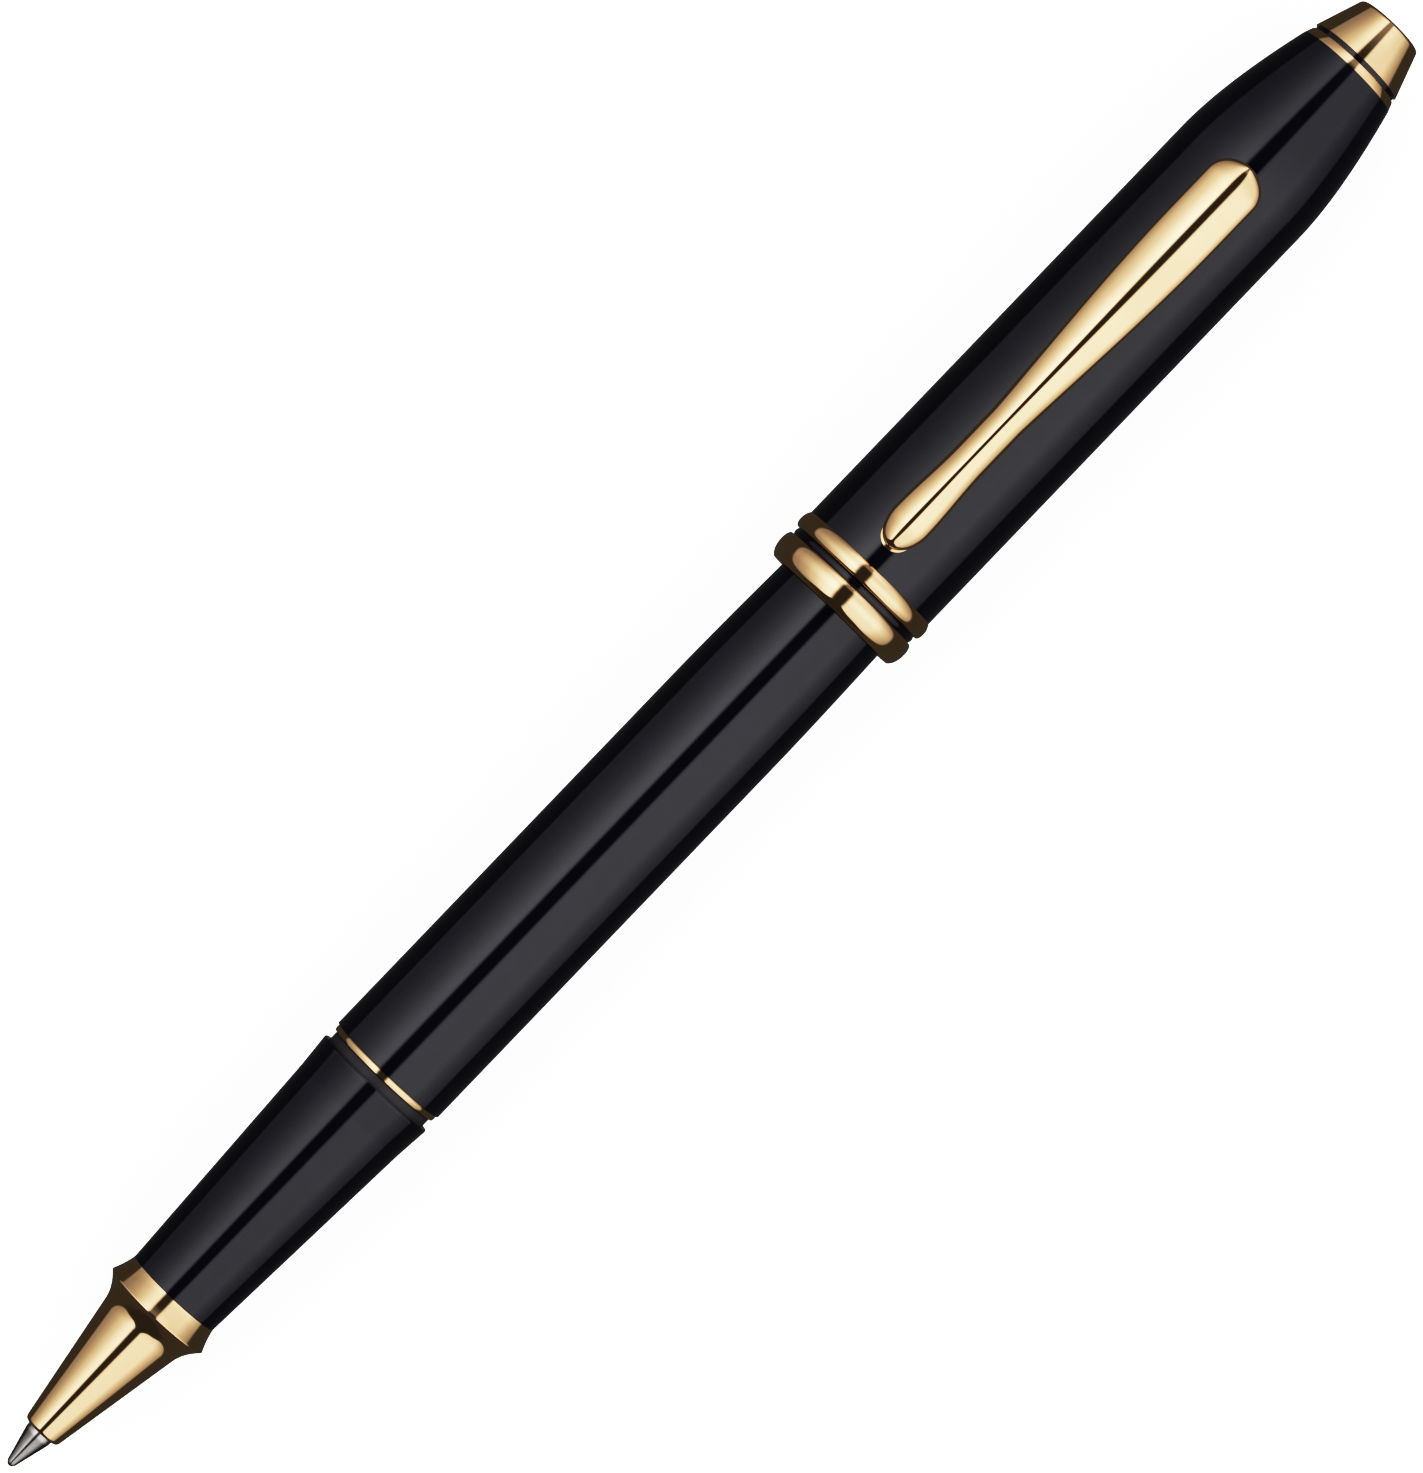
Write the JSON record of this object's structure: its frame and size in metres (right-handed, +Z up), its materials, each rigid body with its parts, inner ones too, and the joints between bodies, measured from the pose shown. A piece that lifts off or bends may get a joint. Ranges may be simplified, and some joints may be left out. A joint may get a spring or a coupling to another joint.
{
  "type": "rollerball pen",
  "caption": "Slim torpedo rollerball pen with a posted cap, a long pocket clip, raised bands at the cap's mouth, a stepped nose cone and a sprung refill.",
  "frame": {"origin": "on the resting surface, under the middle of the posted pen; the pen's axis is 6.56 mm above it, the radius of the widest band", "axes": "+X along the pen from the writing tip to the finial, +Z up through the clip, +Y across the pen"},
  "size_m": [0.1538, 0.0132, 0.0149],
  "materials": {
    "black_lacquer": "gloss",
    "gold_plate": "polished",
    "tip_steel": "polished",
    "ball_carbide": "polished",
    "spring_steel": "satin",
    "brass": "satin",
    "black_plastic": "satin",
    "liner_plastic": "matte",
    "clear_plastic": "gloss",
    "ink": "gloss",
    "grease": "gloss"
  },
  "bodies": {
    "barrel": {"barrel_tube": "black_lacquer", "barrel_ring": "gold_plate", "barrel_bushing": "brass", "tail_plug": "gold_plate", "refill_spring": "spring_steel"},
    "refill": {"refill_tip": "tip_steel", "refill_feed": "black_plastic", "refill_tube": "clear_plastic", "ink_column": "ink", "ink_follower": "grease", "refill_end_plug": "black_plastic"},
    "ball": {"refill_ball": "ball_carbide"},
    "section": {"grip_section": "black_lacquer", "nose_cone": "gold_plate", "section_coupler": "brass"},
    "cap": {"cap_tube": "black_lacquer", "mouth_band": "gold_plate", "band_spacer": "black_lacquer", "upper_band": "gold_plate", "snap_ring": "spring_steel", "cap_liner": "liner_plastic", "clip_carrier": "brass", "clip_pin": "spring_steel", "clip_spring": "spring_steel", "cap_insert": "brass", "finial_ring": "gold_plate", "finial_spacer": "black_lacquer", "finial_stud": "brass", "finial": "gold_plate"},
    "clip": {"clip": "gold_plate"}
  },
  "joints": [
    {"name": "cap_slide", "type": "slide", "parent": "barrel", "child": "cap", "axis": [1, 0, 0], "range_m": [0, 0.045]},
    {"name": "section_advance", "type": "slide", "parent": "barrel", "child": "refill", "axis": [-1, 0, 0], "range_m": [0, 0.0075], "deforming": ["refill_spring"]},
    {"name": "section_turn", "type": "hinge", "parent": "refill", "child": "section", "pos_m": [-0.03525, 0, 0.00656], "axis": [-1, 0, 0], "range_deg": [0, 1800]},
    {"name": "clip_flex", "type": "hinge", "parent": "cap", "child": "clip", "pos_m": [0.05565, 0, 0.01146], "axis": [0, 1, 0], "range_deg": [0, 4], "stiffness_Nm_per_rad": 1.5},
    {"name": "ball_roll", "type": "hinge", "parent": "refill", "child": "ball", "pos_m": [-0.0766, 0, 0.00656], "axis": [0, 1, 0], "continuous": true}
  ],
  "couplings": [
    {"joint": "section_turn", "follows": "section_advance", "rad_per_m": 4188.8}
  ]
}
